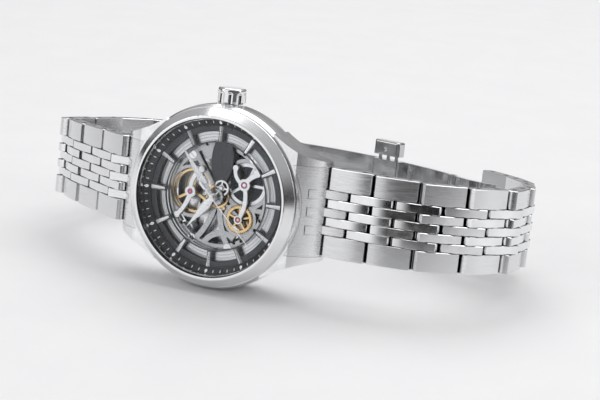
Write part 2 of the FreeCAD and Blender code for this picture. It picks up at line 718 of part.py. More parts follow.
def push_pieces(middle, spine):
    """The caps that release the clasp: each slides inwards on three posts."""
    half = size["blade_half"]
    frame = block_frame(middle, spine)
    for name, side in (("clasp_pusher_lower", 1), ("clasp_pusher_upper", -1)):
        cap = Part.makeBox(8.0, 3.0, 3.6, V(-4.0, 0.0, half + 1.2))
        cap = cap.makeFillet(0.8, [e for e in cap.Edges if abs(e.Vertexes[0].Z - e.Vertexes[-1].Z) > 1])
        tops = [e for e in cap.Edges if min(v.Z for v in e.Vertexes) > half + 4.7]
        cap = cap.makeFillet(0.5, tops)
        dimple = Part.makeSphere(0.75, V(0, 3.45, half + 2.6))
        posts = [Part.makeCylinder(0.47, 2.7, V(along, 1.5, half - 1.3)) for along in POSTS]
        piece = cap.cut(dimple).fuse(posts).removeSplitter()
        if side < 0:
            piece = piece.mirror(V(), V(0, 0, 1))
        piece = piece.copy()
        piece.Placement = frame.multiply(piece.Placement)
        shape_part(name, piece)


def arm(name, start, end, bulge):
    """A folding arm: a curved plate with a narrow knuckle at the bracelet.

    Only the 12 o'clock arm has its broad knuckle at the blade.
    The 6 o'clock arm ends short of the blade's pin.
    """
    thick, half = size["blade_thick"], size["blade_half"]
    to_twelve = name.endswith("12")
    blade_end, link_end = (end, start) if to_twelve else (start, end)
    plate = curved_strip(start, end, bulge, thick, half, (2.6, 2.6) if to_twelve else (1.5, 2.6))
    first, last = V(0, *start), V(0, *end)
    along = last.sub(first)
    side = V(0, -along.z, along.y).normalize()
    spine = Part.ArcOfCircle(first, first.add(last).multiply(0.5).add(side * bulge), last)
    low, high = spine.FirstParameter, spine.LastParameter
    ends = [(link_end, 0.96), (blade_end, 2.96)] if to_twelve else [(link_end, 0.96)]
    for spot, wide in ends:
        share = 0.2 if (spine.value(low) - V(0, *spot)).Length < 1 else 0.8
        aim = spine.value(low + (high - low) * share)
        tab = web(spot, (aim.y, aim.z), -wide, wide, 3.4, thick)
        plate = plate.fuse([knuckle(spot, -wide, wide), tab])
    shape_part(name, plate.removeSplitter())


# ---------------------------------------------------------------- dial

def minute_flange():
    body = turned_body("minute_flange", [
        ("flange_bore", 0), ("flange_radius", 0), ("flange_radius", 2.55), ("flange_bore", 1.45),
    ])
    keep(body, "minute_flange", z=1.93)
    body.Placement = body.Placement.multiply(FreeCAD.Placement(V(), FreeCAD.Rotation(V(1, 0, 0), 180)))


def turned(shape, degrees):
    """A copy of a shape turned about the hands' axis."""
    copy = shape.copy()
    copy.rotate(V(), V(0, 0, 1), degrees)
    return copy


def hour_ring():
    """The dark ring that carries the hour markers on twelve short spokes."""
    low, high = size["dial_level"], size["dial_level"] + size["dial_thick"]
    rings = [ring(size["flange_bore"] - 0.03, 14.55, low, high), ring(12.32, size["dial_bore"], low, high)]
    spoke = Part.makeBox(3.0, 1.15, high - low, V(size["dial_bore"] + 0.1, -0.575, low))
    spokes = [turned(spoke, 30 * hour) for hour in range(12)]
    shape_part("hour_ring", fused(rings + spokes))


def hour_markers():
    """Twelve faceted batons, broad at the outer end, with a ridge along the middle."""
    base = size["dial_level"]

    def section(radius, half_width, height):
        corners = [V(radius, -half_width, base), V(radius, half_width, base)]
        corners += [V(radius, half_width, base - 0.22), V(radius, 0, base - height)]
        corners.append(V(radius, -half_width, base - 0.22))
        return Part.makePolygon(corners + [corners[0]])

    baton = Part.makeLoft([section(12.45, 0.26, 0.31), section(15.8, 0.45, 0.38)], True, True)
    shape_part("hour_markers", Part.makeCompound([turned(baton, 30 * hour) for hour in range(12)]))


def movement_holder():
    """The silver ring around the movement, with turned grooves on its front."""
    level = size["holder_level"]
    blank = ring(17.2, size["holder_bore"], level, level + 0.45)
    wall = ring(17.2, size["plate_radius"] + 0.1, level + 0.4, 6.75)
    grooves = [ring(r + 0.09, r - 0.09, level - 0.1, level + 0.14) for r in (12.95, 13.6, 14.25)]
    hole = Part.makeCylinder(0.62, 6, V(12, 0, size["crown_level"]), V(1, 0, 0))
    shape_part("movement_holder", blank.fuse(wall).removeSplitter().cut(grooves + [hole]))


# ---------------------------------------------------------------- movement

def main_plate():
    """The skeletonised main plate: rings around the balance and the barrel, tied to the rim by arms."""
    low = size["plate_level"]
    high = low + size["plate_thick"]
    rim = ring(size["plate_radius"], 10.9, low, high)
    arms = [
        disc(1.75, low, high), ring(5.95, 5.2, low, high, *BALANCE), ring(5.75, 4.95, low, high, *BARREL),
        disc(1.15, low, high, *WINDER), ring(3.95, 3.3, low, high, *WINDER),
        arm_arc((-11.3, -2.6), (-8.4, 0.8), (-8.9, 4.8), 1.3, low, high),
        arm_arc((-11.0, 3.4), (-6.0, 1.2), (-1.0, 0.6), 1.25, low, high),
        arm_arc((-10.4, -4.6), (-6.8, -2.2), (-1.0, -0.4), 1.25, low, high),
        bar((1.0, -0.6), (9.2, -6.6), 1.2, low, high), bar((0.6, 0.8), (11.2, 1.2), 1.4, low, high),
        bar(WINDER, (-8.0, 8.0), 1.1, low, high), bar(WINDER, (-1.2, 0.9), 1.1, low, high),
        arm_arc((-1.9, 11.4), (-1.6, 7.0), (0.6, 1.2), 1.0, low, high),
        bar((9.6, -3.2), (11.4, -4.0), 3.4, low, high), disc(1.5, low, high, 8.3, -7.2),
        bar(ESCAPE, (-2.2, -0.7), 1.2, low, high),
    ]
    plate = fused([rim] + arms).common(disc(size["plate_radius"], low - 1, high + 1))
    clear = [disc(4.9, low - 1, high + 1, *BARREL), disc(5.2, low - 1, high + 1, *BALANCE)]
    pivots = [disc(0.75, low - 1, high + 1), disc(0.36, low - 1, high + 1, *WINDER)]
    pivots += [disc(0.3, low - 1, high + 1, *THIRD), disc(0.14, low - 1, high + 1, *ESCAPE)]
    holes = [disc(0.42, low - 1, high + 1, *spot) for spot in PLATE_HOLES]
    seats = [disc(0.95, low - 0.1, low + 0.3, *spot) for spot in PLATE_SCREWS]
    threads = [disc(0.5, low - 1, high + 1, *spot) for spot in PLATE_SCREWS]
    shape_part("main_plate", plate.cut(clear + pivots + holes + seats + threads))


def front_bridge():
    """The dark leaf-shaped bridge at 3 o'clock."""
    low, high = 1.55, 2.0
    edges = [
        Part.Arc(V(1.7, 0.2, 0), V(6.8, -2.0, 0), V(12.0, -1.5, 0)).toShape(),
        Part.makeLine(V(12.0, -1.5, 0), V(12.0, 2.5, 0)),
        Part.Arc(V(12.0, 2.5, 0), V(6.6, 3.0, 0), V(1.7, 0.2, 0)).toShape(),
    ]
    leaf = Part.Face(Part.Wire(edges)).extrude(V(0, 0, high - low))
    leaf.translate(V(0, 0, low))
    plate = size["plate_level"]
    feet = [disc(0.8, high - 0.1, plate, 10.8, 0.6), disc(0.5, high - 0.1, plate, 6.4, 0.9)]
    leaf = leaf.fuse(feet).removeSplitter()
    shape_part("front_bridge", leaf.cut(disc(2.35, low - 1, high + 1)))


def barrel_bridge():
    """Three curved arms over the barrel, with the barrel arbor's jewel at their hub."""
    low, high = 1.45, 2.0
    arms = [
        disc(1.35, low, high, *BARREL), disc(0.95, low, high, *WINDER),
        arm_arc(BARREL, (-0.2, 7.0), WINDER, 0.95, low, high),
        arm_arc(BARREL, (5.6, 8.2), (6.4, 9.8), 1.05, low, high),
        arm_arc(BARREL, (4.7, 4.6), (6.9, 3.95), 0.85, low, high),
        disc(0.85, low, 2.5, 6.5, 9.2), disc(0.65, low, 2.5, 7.0, 3.95),
    ]
    body = fused(arms)
    return body.cut([disc(0.78, low - 1, high + 1, *BARREL), disc(0.66, low - 1, 3, *WINDER)])


def balance_cock():
    """The bridge over the balance, from the rim to the balance jewel."""
    low, high = 5.75, 6.45
    body = fused([
        arm_arc((-8.6, -7.6), (-4.6, -7.4), BALANCE, 2.1, low, high), disc(1.35, low, high, *BALANCE),
        disc(1.7, 3.7, high, -8.9, -7.6),
    ]).common(disc(12.7, 0, 10))
    foot_clear = ring(5.4, 0.1, 3.0, 5.7, *BALANCE)
    return body.cut([foot_clear, disc(0.62, low - 1, high + 1, *BALANCE)])


def balance_bridge():
    """The slim front bar that holds the balance's upper jewel."""
    low, high = 1.75, 2.35
    body = fused([
        arm_arc((-5.5, -9.4), (-2.9, -7.6), BALANCE, 0.9, low, high), disc(1.25, low, high, *BALANCE),
        arm_arc(BALANCE, (3.2, -6.2), (5.35, -4.4), 0.9, low, high),
        disc(0.7, low, size["plate_level"], -5.6, -9.5), disc(0.7, low, size["plate_level"], 5.5, -4.35),
    ])
    return body.cut(disc(0.66, low - 1, high + 1, *BALANCE))


def dial_side_bridges():
    shape_part("dial_side_bridges", Part.makeCompound([barrel_bridge(), balance_bridge()]))


def train_bridge():
    """The rear bridge over the barrel and the wheels."""
    low, high = 5.75, 6.45
    half = disc(12.6, low, high).common(Part.makeBox(26, 20, 2, V(-13, -4.4, low - 0.5)))
    clear = [ring(3.6, 2.2, low - 1, high + 1, *BARREL), disc(1.5, low - 1, high + 1, -8.2, 3.2)]
    clear.append(disc(6.3, low - 1, high + 1, *BALANCE))
    holes = [disc(0.42, low - 1, high + 1, *spot) for spot in (ESCAPE, THIRD, WINDER, BARREL)]
    posts = [ring(0.9, 0.45, 3.7, low + 0.1, *spot) for spot in BRIDGE_POSTS]
    centre = disc(0.92, low - 1, high + 1)
    cut = half.cut(clear + holes + [centre])
    spokes = [bar((BARREL[0] - 3.8, BARREL[1]), (BARREL[0] + 3.8, BARREL[1]), 0.9, low, high)]
    axle = [ring(1.6, 0.75, low, high), disc(1.2, high - 0.1, 6.68)]
    axle = fused(axle + [disc(0.8, high - 0.1, 7.5), disc(1.3, 7.43, 7.6)])
    axle = axle.cut(disc(0.25, low - 1, high - 0.05))
    body = fused([cut, *posts, axle, spokes[0].cut(disc(0.42, low - 1, high + 1, *BARREL))])
    shape_part("train_bridge", body.common(disc(12.7, 0, 10)))


def pallet_cock():
    """The arm over the pallet fork, on a post that stands on the main plate."""
    low, high = 5.0, 5.4
    elbow, post = (1.8, -3.4), (4.9, -3.4)
    arms = [bar(FORK, elbow, 1.0, low, high), bar(elbow, post, 1.0, low, high)]
    arms.append(disc(0.55, 3.7, high, *post))
    return fused(arms).cut(disc(0.2, low - 1, high + 1, *FORK))


def cocks():
    """The cocks that hold the rear pivots of the balance and of the pallet fork."""
    shape_part("balance_and_pallet_cocks", Part.makeCompound([balance_cock(), pallet_cock()]))


def jewel(spot, outer, inner, low, high):
    return ring(outer, inner, low, high, *spot)


def jewels():
    """Pink bearing jewels, pressed into the plate and bridges."""
    stones = [
        jewel(BALANCE, 0.65, 0.12, 1.72, 2.2), jewel(BALANCE, 0.61, 0.12, 5.85, 6.4),
        jewel(BARREL, 0.77, 0.42, 1.42, 1.9), jewel(WINDER, 0.65, 0.3, 1.42, 1.9),
        jewel(ESCAPE, 0.41, 0.12, 5.85, 6.4), jewel(THIRD, 0.41, 0.16, 5.85, 6.4),
        jewel(FORK, 0.19, 0.1, 5.05, 5.35),
    ]
    shape_part("jewels", Part.makeCompound(stones))


def slotted_screw(spot, head, shank, top, low, turn):
    body = disc(head, top, top + 0.32, *spot).fuse(disc(shank, top, low, *spot))
    slot = Part.makeBox(2 * head + 0.2, 0.2, 0.16, V(-head - 0.1, -0.1, top - 0.02))
    slot.rotate(V(), V(0, 0, 1), turn)
    slot.translate(V(*spot, 0))
    return body.cut(slot)


def movement_screws():
    screws = []
    for number, spot in enumerate(PLATE_SCREWS):
        screws.append(slotted_screw(spot, 0.92, 0.48, size["plate_level"] - 0.05, 4.6, 35 + 47 * number))
    shape_part("movement_screws", Part.makeCompound(screws))


def barrel():
    """The going barrel: a toothed drum with a spoked face, open to the mainspring."""
    drum = wheel(72, 5.05, 0.3, 4.6, 0, 0.5, 0.5)
    wall = ring(4.85, 4.62, 3.0, 4.65)
    face = ring(4.85, 4.0, 2.95, 3.15).fuse([disc(1.35, 2.95, 3.15), *[
        turned(bar((0.8, 0), (4.4, 0), 0.62, 2.95, 3.15), 72 * i + 20) for i in range(5)]])
    body = fused([drum, wall, face]).cut(disc(0.43, 0, 8))
    shape_part("barrel", body, *BARREL)


def mainspring():
    shape_part("mainspring", spiral(1.25, 4.5, 9.5, 0.13, 3.25, 4.5), *BARREL)


def ratchet_wheel():
    """The winding wheel on the barrel arbor."""
    toothed = wheel(62, 4.83, 0.28, 5.2, 0, 0.5, 0.5)
    arbor = disc(0.40, 1.5, 6.4)
    shape_part("ratchet_wheel", toothed.fuse(arbor).removeSplitter(), *BARREL)


def winding_wheel():
    """The golden wheel at 7 o'clock, which winds the ratchet wheel."""
    gold = wheel(40, 3.1, 0.22, 2.15, 5, 0.8, 0.45, spoke_width=0.4)
    rear = wheel(40, 3.1, 0.28, 5.2, 0, 0.5, 0.5)
    shape_part("winding_wheel", fused([gold, rear, disc(0.28, 1.46, 6.4)]), *WINDER)


def centre_wheel():
    """The minute wheel of the train with its arbor, and the pinion driven by the barrel."""
    gold = wheel(60, 2.7, 0.2, 2.15, 4, 0.75, 0.4)
    leaves = wheel(29, 2.03, 0.35, 4.58, 0, 0.5, 0.5)
    tube = ring(0.36, 0.21, -0.72, 4.95)
    body = fused([gold, leaves, ring(0.72, 0.3, 2.2, 4.1), tube]).cut(disc(0.21, -2, 8))
    shape_part("centre_wheel", Part.makeCompound([body, cannon_pinion()]))


def third_wheel():
    """The third wheel, with its pinion at the dial side and its wheel at the rear."""
    gold = wheel(64, 2.72, 0.16, 5.52, 4, 0.5, 0.35, phase=2.8)
    pinion = wheel(8, 0.36, 0.38, 2.06, 0, 0.1, 0.1)
    shape_part("third_wheel", fused([gold, pinion, disc(0.15, 2.06, 6.3)]), *THIRD)


def fourth_wheel():
    """The seconds wheel, whose long arbor runs up through the centre wheel."""
    gold = wheel(80, 2.6, 0.16, 4.98, 4, 0.5, 0.35)
    pinion = wheel(8, 0.34, 0.26, 5.46, 0, 0.1, 0.1)
    shape_part("fourth_wheel", fused([gold, pinion, disc(0.18, -1.5, 6.2)]))


def escape_wheel():
    """The escape wheel, with fifteen hooked teeth and its pinion."""
    step = 2 * math.pi / 15
    points = []
    for tooth in range(15):
        base = tooth * step
        for radius, share in ((1.45, 0.0), (1.45, 0.35), (1.9, 0.78), (1.9, 0.9), (1.45, 0.98)):
            angle = base + share * step
            points.append(V(radius * math.cos(angle), radius * math.sin(angle), 4.3))
    blank = Part.Face(Part.makePolygon(points + [points[0]])).extrude(V(0, 0, 0.14))
    window = ring(1.2, 0.4, 4.0, 5.0)
    arms = fused([turned(bar((0, 0), (1.3, 0), 0.22, 3.9, 5.1), 90 * i) for i in range(4)])
    pinion = wheel(8, 0.26, 0.35, 4.9, 0, 0.1, 0.1, phase=12)
    body = fused([blank.cut(window.cut(arms)), pinion, disc(0.11, 3.0, 6.3)])
    shape_part("escape_wheel", body, *ESCAPE)


def pallet_fork():
    """The lever between the escape wheel and the balance, with its two pallet stones."""
    low, high = 4.3, 4.45
    to_escape = V(ESCAPE[0] - FORK[0], ESCAPE[1] - FORK[1], 0)
    heading = math.degrees(math.atan2(to_escape.y, to_escape.x))
    arms = [bar((0, 0), (0.35, 1.15), 0.3, low, high), bar((0, 0), (0.35, -1.15), 0.3, low, high)]
    ends = (low - 0.1, high + 0.1)
    stones = [bar((0.35, way * 1.1), (0.75, way * 1.15), 0.2, *ends) for way in (1, -1)]
    to_balance = V(BALANCE[0] - FORK[0], BALANCE[1] - FORK[1], 0)
    lever = bar((0, 0), (-to_balance.Length + 0.95, 0), 0.3, low, high)
    body = fused(arms + stones)
    body.rotate(V(), V(0, 0, 1), heading)
    lever.rotate(V(), V(0, 0, 1), math.degrees(math.atan2(to_balance.y, to_balance.x)) + 180)
    body = fused([body, lever, disc(0.09, 4.2, 5.3)])
    shape_part("pallet_fork", body, *FORK)


def balance_wheel():
    """The golden balance with its staff, roller and four rim screws."""
    rim = ring(5.0, 4.5, 3.75, 4.15)
    arms = fused([turned(bar((0, 0), (4.7, 0), 0.55, 3.82, 4.08), 120 * i) for i in range(3)])
    stud = Part.makeCylinder(0.16, 0.34, V(4.2, 0, 3.95), V(1, 0, 0))
    studs = [turned(stud, 60 + 120 * i) for i in range(3)]
    body = fused([rim, arms, disc(0.6, 3.7, 4.2), disc(0.1, 1.8, 6.2), disc(0.45, 4.7, 4.85), *studs])
    shape_part("balance_wheel", body, *BALANCE)


def hairspring():
    coil = spiral(0.55, 2.3, 9, 0.05, 5.1, 5.25)
    collet = ring(0.6, 0.1, 5.05, 5.3)
    shape_part("hairspring", coil.fuse(collet).removeSplitter(), *BALANCE)


def minute_work_wheel():
    """The wheel under the dial that drives the hour wheel, with its pinion."""
    large = wheel(36, 1.8, 0.16, 1.1, 4, 0.75, 0.3, phase=5)
    small = wheel(10, 0.48, 0.3, 0.75, 0, 0.1, 0.1)
    body = fused([large, small, disc(0.16, 0.75, 1.5)])
    shape_part("minute_work_wheel", body, *MINUTE_WORK)


def cannon_pinion():
    """The pinion held by friction on the centre wheel's arbor."""
    pinion = wheel(12, 0.6, 0.3, 1.05, 0, 0.4, 0.1)
    return pinion.fuse(ring(0.5, 0.37, -0.4, 1.1)).removeSplitter().cut(disc(0.37, -2, 4))


# ---------------------------------------------------------------- hands

def dauphine(length, half_width, widest, tail, low, thick, rise):
    """A hand with two slanting facets that meet in a ridge."""
    flat = [V(-tail, 0, 0), V(widest, half_width, 0), V(length, 0, 0), V(widest, -half_width, 0)]
    base = Part.Face(Part.makePolygon(flat + [flat[0]])).extrude(V(0, 0, thick))
    apex = V(widest, 0, -rise)
    faces = [Part.Face(Part.makePolygon([flat[i], flat[(i + 1) % 4], apex, flat[i]])) for i in range(4)]
    faces.append(Part.Face(Part.makePolygon(flat + [flat[0]])))
    roof = Part.Solid(Part.Shell(faces))
    if roof.Volume < 0:
        roof.reverse()
    hand = base.fuse(roof)
    hand.translate(V(0, 0, low))
    return hand


def hands():
    """Hour, minute and seconds hands, at eight and a half minutes past ten."""
    hour = dauphine(9.6, 0.95, 2.5, 1.7, -0.25, 0.12, 0.18)
    hour = hour.fuse([disc(0.95, -0.33, -0.1), ring(0.75, 0.53, -0.3, 0.8)]).cut(disc(0.53, -3, 3))
    hub = wheel(40, 1.92, 0.2, 0.6, 0, 0.6, 0.3, phase=4).cut(disc(0.53, -3, 3))
    shape_part("hour_hand", hour.removeSplitter(), turn=hand_turn(307.7))
    shape_part("hour_wheel", hub.cut(disc(0.75, -3, 3)))
    minute = dauphine(14.4, 0.85, 3.6, 2.2, -0.75, 0.12, 0.18)
    minute = minute.fuse(disc(0.8, -0.85, -0.6)).cut(disc(0.36, -3, 3))
    shape_part("minute_hand", minute.removeSplitter(), turn=hand_turn(50.5))
    needle = bar((-3.4, 0), (14.0, 0), 0.16, -1.4, -1.28)
    needle = needle.fuse([disc(0.5, -1.5, -1.25), bar((-4.2, 0), (-2.6, 0), 0.5, -1.4, -1.28)])
    shape_part("seconds_hand", needle.removeSplitter().cut(disc(0.18, -3, 3)), turn=hand_turn(223.2))


def hand_turn(bearing):
    """The turn in the watch frame that points a hand at a bearing clockwise from 12 o'clock."""
    return bearing - 90


def rotor():
    """The winding weight: a half disc with a heavy rim on a central bearing."""
    weight = ring(12.1, 10.2, 6.75, 7.62).fuse(ring(10.4, 2.2, 6.95, 7.25)).fuse(disc(2.6, 6.7, 7.4))
    weight = weight.common(Part.makeBox(30, 15, 4, V(-15, 0, 5)).fuse(disc(2.6, 5, 9)))
    windows = [turned(ring(9.4, 4.2, 6, 9).common(wedge(18)), 25 + 33 * i) for i in range(4)]
    shape_part("rotor", weight.cut(windows + [disc(0.85, 5, 9)]).removeSplitter(), turn=200)


def wedge(degrees):
    return Part.makeCylinder(20, 6, V(0, 0, 5), V(0, 0, 1), degrees)


# ---------------------------------------------------------------- build

case_middle()
bezel()
front_crystal()
crystal_gasket()
case_back()
back_crystal()
crown_gasket()
crown()
winding_stem()
spring_bars()
end_links()
bracelet_side(-1, LINKS_12, "12", ARM_A_LINK, PIVOT_A)
bracelet_side(1, LINKS_6, "6", ARM_B_LINK, PIVOT_B)
clasp()
minute_flange()
hour_ring()
hour_markers()
movement_holder()
main_plate()
front_bridge()
dial_side_bridges()
cocks()
train_bridge()
jewels()
movement_screws()
barrel()
mainspring()
ratchet_wheel()
winding_wheel()
centre_wheel()
third_wheel()
fourth_wheel()
escape_wheel()
pallet_fork()
balance_wheel()
hairspring()
minute_work_wheel()
hands()
rotor()

doc.recompute()
for obj in doc.Objects:
    if "Invalid" in obj.State or "Error" in obj.State:
        raise RuntimeError(f"{obj.Name} failed: {obj.State}")
os.makedirs("parts", exist_ok=True)
for obj in PARTS:
    if obj.Shape.isNull() or not obj.Shape.isValid():
        raise RuntimeError(f"{obj.Label} has no valid shape")
    obj.Shape.exportStep(f"parts/{obj.Label}.step")
print(len(PARTS), "sub-parts")
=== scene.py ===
import bmesh
import bpy
import json
import math
import numpy as np
from mathutils import Matrix, Vector

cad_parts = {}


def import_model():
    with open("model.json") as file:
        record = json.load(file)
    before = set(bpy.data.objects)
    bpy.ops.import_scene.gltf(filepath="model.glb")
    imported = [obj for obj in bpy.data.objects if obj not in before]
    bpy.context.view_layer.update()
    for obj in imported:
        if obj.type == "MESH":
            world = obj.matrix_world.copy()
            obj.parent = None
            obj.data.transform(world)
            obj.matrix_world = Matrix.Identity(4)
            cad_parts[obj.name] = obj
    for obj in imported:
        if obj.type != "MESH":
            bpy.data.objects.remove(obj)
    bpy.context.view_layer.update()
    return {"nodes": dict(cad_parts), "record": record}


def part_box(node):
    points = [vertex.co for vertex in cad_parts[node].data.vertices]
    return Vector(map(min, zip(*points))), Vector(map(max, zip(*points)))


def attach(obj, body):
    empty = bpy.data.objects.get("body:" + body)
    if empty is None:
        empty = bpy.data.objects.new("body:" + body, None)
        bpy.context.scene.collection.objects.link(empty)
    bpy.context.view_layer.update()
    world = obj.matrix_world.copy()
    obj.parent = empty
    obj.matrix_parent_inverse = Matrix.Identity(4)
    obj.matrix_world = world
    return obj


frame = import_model()
NODES = frame["nodes"]
SLOT_OF = {row["node"]: row["material_slot"] for row in frame["record"]["subparts"]}
MM = 0.001
INNER_ROWS = 9.98 * MM    # width of the bracelet's polished inner rows together


# ---------------------------------------------------------------- shader helpers

class Shader:
    """A node-based material, with short calls for the nodes that this scene uses."""

    def __init__(self, name):
        self.material = bpy.data.materials.new(name)
        self.material.use_nodes = True
        self.tree = self.material.node_tree
        self.tree.nodes.clear()
        self.out = self.tree.nodes.new("ShaderNodeOutputMaterial")
        self.body = self.tree.nodes.new("ShaderNodeBsdfPrincipled")
        self.tree.links.new(self.body.outputs[0], self.out.inputs["Surface"])
        coords = self.tree.nodes.new("ShaderNodeTexCoord")
        self.place = coords.outputs["Object"]

    def node(self, kind, **values):
        """A new node of a kind, with its settings."""
        made = self.tree.nodes.new(kind)
        for key, value in values.items():
            setattr(made, key, value)
        return made

    def put(self, socket, value):
        """Feed a socket from another socket, or give it a plain value."""
        if isinstance(value, bpy.types.NodeSocket):
            self.tree.links.new(value, socket)
        else:
            socket.default_value = value

    def set(self, **values):
        """Feed inputs of the surface shader by name, with _ for a space."""
        for key, value in values.items():
            self.put(self.body.inputs[key.replace("_", " ")], value)
        return self

    def grid(self, scale):
        """Object coordinates in millimetres, stretched by a scale per axis."""
        mapping = self.node("ShaderNodeMapping")
        mapping.inputs["Scale"].default_value = [s / MM for s in scale]
        self.put(mapping.inputs["Vector"], self.place)
        return mapping.outputs[0]

    def noise(self, scale, detail=3.0, roughness=0.6):
        """Noise with so many grains a millimetre along each axis."""
        made = self.node("ShaderNodeTexNoise")
        self.put(made.inputs["Vector"], self.grid(scale))
        made.inputs["Scale"].default_value = 1.0
        made.inputs["Detail"].default_value = detail
        made.inputs["Roughness"].default_value = roughness
        return made.outputs["Fac"]

    def math(self, operation, first, second=0.0):
        """One arithmetic node on two values or sockets."""
        made = self.node("ShaderNodeMath", operation=operation)
        self.put(made.inputs[0], first)
        self.put(made.inputs[1], second)
        return made.outputs[0]

    def span(self, value, low, high, start=0.3, stop=0.7):
        """A value brought from start..stop to low..high."""
        made = self.node("ShaderNodeMapRange")
        self.put(made.inputs["Value"], value)
        made.inputs["From Min"].default_value = start
        made.inputs["From Max"].default_value = stop
        made.inputs["To Min"].default_value = low
        made.inputs["To Max"].default_value = high
        return made.outputs[0]

    def blend(self, factor, first, second):
        """The first colour at factor 0, the second at factor 1."""
        made = self.node("ShaderNodeMix", data_type="RGBA")
        self.put(made.inputs[0], factor)
        self.put(made.inputs[6], first)
        self.put(made.inputs[7], second)
        return made.outputs[2]

    def bump(self, height, strength, depth):
        """Surface relief from a height value, its depth in millimetres."""
        made = self.node("ShaderNodeBump")
        made.inputs["Strength"].default_value = strength
        made.inputs["Distance"].default_value = depth * MM
        self.put(made.inputs["Height"], height)
        self.put(self.body.inputs["Normal"], made.outputs[0])
        return self

    def crease_shade(self, reach):
        """Painted shade from ambient occlusion: 1 on open faces, falling to 0 inside gaps narrower
        than the reach in millimetres.
        """
        made = self.node("ShaderNodeAmbientOcclusion", samples=8)
        made.inputs["Distance"].default_value = reach * MM
        return self.span(made.outputs["AO"], 0.0, 1.0, 0.25, 0.75)

    def axes(self):
        """The x, y and z object coordinates, in metres."""
        made = self.node("ShaderNodeSeparateXYZ")
        self.put(made.inputs[0], self.place)
        return made.outputs

    def radius(self):
        """Distance from the hands' axis, in millimetres."""
        x, _, z = self.axes()
        square = self.math("ADD", self.math("MULTIPLY", x, x), self.math("MULTIPLY", z, z))
        return self.math("DIVIDE", self.math("SQRT", square), MM)


def grey(value):
    """A colour a touch cooler than neutral grey."""
    return (value, value * 1.005, value * 1.015, 1)


def satin(name, scale, tone, rough=(0.24, 0.34)):
    """Brushed steel: fine streaks along the direction in which the scale is small."""
    s = Shader(name)
    fine = s.noise(scale, 4.0, 0.65)
    broad = s.noise((0.09, 0.09, 0.09), 2.0)
    tint = s.blend(s.span(fine, 0, 1), grey(tone * 0.86), grey(min(tone * 1.12, 1)))
    s.set(Base_Color=s.blend(s.span(broad, 0.0, 0.25), tint, grey(tone * 0.9)), Metallic=1.0)
    s.set(Roughness=s.span(fine, *rough))
    return s.bump(fine, 0.35, 0.012).material


def polished(name, tone=0.84, rough=0.05):
    """Polished steel with faint hairlines and handling marks."""
    s = Shader(name)
    hair = s.noise((1.2, 6.0, 9.0), 3.0)
    smear = s.noise((0.25, 0.25, 0.25), 2.0)
    s.set(Base_Color=s.blend(s.span(smear, 0, 1), grey(tone), grey(tone * 0.95)), Metallic=1.0)
    s.set(Roughness=s.math("ADD", s.span(smear, rough, rough + 0.04), s.span(hair, 0.0, 0.02)))
    return s.bump(hair, 0.04, 0.004).material


def bracelet(name):
    """Outer pieces brushed lengthwise, inner rows polished, told apart across the band."""
    s = Shader(name)
    _, _, across = s.axes()
    outer = s.math("GREATER_THAN", s.math("ABSOLUTE", across), INNER_ROWS / 2)
    streaks = s.noise((0.35, 0.35, 9.0), 4.0, 0.65)
    smear = s.noise((0.3, 0.3, 0.3), 2.0)
    brushed = s.blend(s.span(streaks, 0, 1), grey(0.66), grey(0.84))
    metal = s.blend(outer, s.blend(s.span(smear, 0, 1), grey(0.86), grey(0.80)), brushed)
    # Painted shade: the colour falls to near black in the gaps between links.
    s.set(Base_Color=s.blend(s.crease_shade(0.9), (0.03, 0.03, 0.03, 1), metal))
    rough = s.node("ShaderNodeMix", data_type="FLOAT")
    s.put(rough.inputs[0], outer)
    s.put(rough.inputs[2], s.span(smear, 0.09, 0.15))
    s.put(rough.inputs[3], s.span(streaks, 0.17, 0.27))
    s.set(Metallic=1.0, Roughness=rough.outputs[0])
    return s.bump(s.math("MULTIPLY", streaks, outer), 0.35, 0.012).material


def anthracite(name):
    """Dark dial metal with a fine radial grain."""
    s = Shader(name)
    x, _, z = s.axes()
    angle = s.math("ARCTAN2", x, z)
    grain = s.node("ShaderNodeTexNoise")
    grain.inputs["Scale"].default_value = 1.0
    grain.inputs["Detail"].default_value = 3.0
    pair = s.node("ShaderNodeCombineXYZ")
    s.put(pair.inputs[0], s.math("MULTIPLY", angle, 90.0))
    s.put(pair.inputs[1], s.math("MULTIPLY", s.radius(), 0.4))
    s.put(grain.inputs["Vector"], pair.outputs[0])
    fac = grain.outputs["Fac"]
    s.set(Base_Color=s.blend(s.span(fac, 0, 1), (0.05, 0.052, 0.056, 1), (0.11, 0.113, 0.12, 1)))
    s.set(Metallic=0.75, Roughness=s.span(fac, 0.26, 0.42))
    return s.bump(fac, 0.3, 0.01).material


def plate(name, tone=0.84, recess_shade=0.10):
    """Silver movement metal: fine matt grain with faint straight stripes, and painted shade in its
    recesses.
    """
    s = Shader(name)
    stripe = s.node("ShaderNodeTexWave", wave_type="BANDS", bands_direction="DIAGONAL")
    s.put(stripe.inputs["Vector"], s.grid((0.55, 0.0, 0.55)))
    stripe.inputs["Scale"].default_value = 0.5
    grain = s.noise((9, 9, 9), 4.0)
    base = s.blend(s.span(grain, 0, 1), grey(tone * 0.95), grey(tone * 1.05))
    front = s.blend(s.span(stripe.outputs["Fac"], 0.0, 0.2, 0, 1), base, grey(tone * 0.85))
    # Painted shade: the colour falls to the recess grey inside gaps and recesses.
    s.set(Base_Color=s.blend(s.crease_shade(3.0), grey(recess_shade), front))
    s.set(Metallic=1.0, Roughness=s.span(grain, 0.20, 0.28))
    return s.bump(grain, 0.08, 0.005).material


